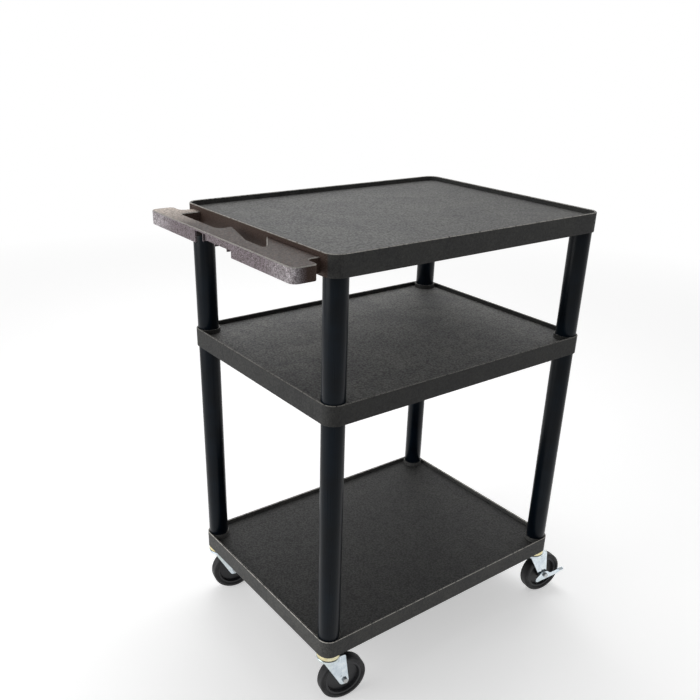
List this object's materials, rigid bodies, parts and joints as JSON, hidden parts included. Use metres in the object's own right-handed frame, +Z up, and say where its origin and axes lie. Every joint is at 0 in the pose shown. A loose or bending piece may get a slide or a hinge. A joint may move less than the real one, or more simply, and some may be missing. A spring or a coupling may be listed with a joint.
{
  "type": "projector cart",
  "caption": "Rolling presentation cart: moulded lipped shelves on tube legs, push handle moulded into the top shelf, swivel casters with foot brakes.",
  "frame": {"origin": "on the floor under the middle of the whole cart's outer box, handle and trailing casters included", "axes": "+Z up, X along the long sides of the shelves with the push handle at the -X end, Y from the front to the back"},
  "size_m": [0.974, 0.6322, 1.15],
  "materials": {
    "shelf_plastic": "pebbled black structural foam",
    "leg_plastic": "smooth black tube",
    "race_steel": "yellow zinc plate",
    "zinc_steel": "bright zinc plate",
    "bright_steel": "bright steel",
    "bush_nylon": "natural nylon",
    "wheel_plastic": "moulded dark grey",
    "tread_rubber": "smooth black rubber"
  },
  "bodies": {
    "cart_frame": {"top_shelf": "shelf_plastic", "middle_shelf": "shelf_plastic", "bottom_shelf": "shelf_plastic", "upper_leg_front_left": "leg_plastic", "upper_leg_front_right": "leg_plastic", "upper_leg_back_left": "leg_plastic", "upper_leg_back_right": "leg_plastic", "lower_leg_front_left": "leg_plastic", "lower_leg_front_right": "leg_plastic", "lower_leg_back_left": "leg_plastic", "lower_leg_back_right": "leg_plastic", "stem_sleeve_front_left": "bright_steel", "stem_sleeve_front_right": "bright_steel", "stem_sleeve_back_left": "bright_steel", "stem_sleeve_back_right": "bright_steel", "caster_stem_front_left": "race_steel", "caster_stem_front_right": "race_steel", "caster_stem_back_left": "race_steel", "caster_stem_back_right": "race_steel", "bearing_balls_front_left": "bright_steel", "bearing_balls_front_right": "bright_steel", "bearing_balls_back_left": "bright_steel", "bearing_balls_back_right": "bright_steel"},
    "caster_front_left": {"fork_front_left": "zinc_steel", "axle_bolt_front_left": "bright_steel", "axle_nut_front_left": "bright_steel", "axle_bush_front_left": "bush_nylon"},
    "wheel_front_left": {"wheel_core_front_left": "wheel_plastic", "tyre_front_left": "tread_rubber"},
    "caster_front_right": {"fork_front_right": "zinc_steel", "axle_bolt_front_right": "bright_steel", "axle_nut_front_right": "bright_steel", "axle_bush_front_right": "bush_nylon", "brake_cam_front_right": "bright_steel"},
    "wheel_front_right": {"wheel_core_front_right": "wheel_plastic", "tyre_front_right": "tread_rubber"},
    "brake_front_right": {"brake_lever_front_right": "zinc_steel"},
    "caster_back_left": {"fork_back_left": "zinc_steel", "axle_bolt_back_left": "bright_steel", "axle_nut_back_left": "bright_steel", "axle_bush_back_left": "bush_nylon"},
    "wheel_back_left": {"wheel_core_back_left": "wheel_plastic", "tyre_back_left": "tread_rubber"},
    "caster_back_right": {"fork_back_right": "zinc_steel", "axle_bolt_back_right": "bright_steel", "axle_nut_back_right": "bright_steel", "axle_bush_back_right": "bush_nylon", "brake_cam_back_right": "bright_steel"},
    "wheel_back_right": {"wheel_core_back_right": "wheel_plastic", "tyre_back_right": "tread_rubber"},
    "brake_back_right": {"brake_lever_back_right": "zinc_steel"}
  },
  "joints": [
    {"name": "swivel_front_left", "type": "hinge", "parent": "cart_frame", "child": "caster_front_left", "pos_m": [-0.36541, -0.26327, 0.158], "axis": [0, 0, 1], "continuous": true},
    {"name": "wheel_spin_front_left", "type": "hinge", "parent": "caster_front_left", "child": "wheel_front_left", "pos_m": [-0.32799, -0.26987, 0.0625], "axis": [0.1736, 0.9848, 0], "continuous": true},
    {"name": "swivel_front_right", "type": "hinge", "parent": "cart_frame", "child": "caster_front_right", "pos_m": [0.38639, -0.26327, 0.158], "axis": [0, 0, 1], "continuous": true},
    {"name": "wheel_spin_front_right", "type": "hinge", "parent": "caster_front_right", "child": "wheel_front_right", "pos_m": [0.42381, -0.26987, 0.0625], "axis": [0.1736, 0.9848, 0], "continuous": true},
    {"name": "brake_pedal_front_right", "type": "hinge", "parent": "caster_front_right", "child": "brake_front_right", "pos_m": [0.42381, -0.26987, 0.0625], "axis": [0.1736, 0.9848, 0], "range_deg": [0, 35]},
    {"name": "swivel_back_left", "type": "hinge", "parent": "cart_frame", "child": "caster_back_left", "pos_m": [-0.36541, 0.28553, 0.158], "axis": [0, 0, 1], "continuous": true},
    {"name": "wheel_spin_back_left", "type": "hinge", "parent": "caster_back_left", "child": "wheel_back_left", "pos_m": [-0.32799, 0.27893, 0.0625], "axis": [0.1736, 0.9848, 0], "continuous": true},
    {"name": "swivel_back_right", "type": "hinge", "parent": "cart_frame", "child": "caster_back_right", "pos_m": [0.38639, 0.28553, 0.158], "axis": [0, 0, 1], "continuous": true},
    {"name": "wheel_spin_back_right", "type": "hinge", "parent": "caster_back_right", "child": "wheel_back_right", "pos_m": [0.42381, 0.27893, 0.0625], "axis": [0.1736, 0.9848, 0], "continuous": true},
    {"name": "brake_pedal_back_right", "type": "hinge", "parent": "caster_back_right", "child": "brake_back_right", "pos_m": [0.42381, 0.27893, 0.0625], "axis": [0.1736, 0.9848, 0], "range_deg": [0, 35]}
  ]
}
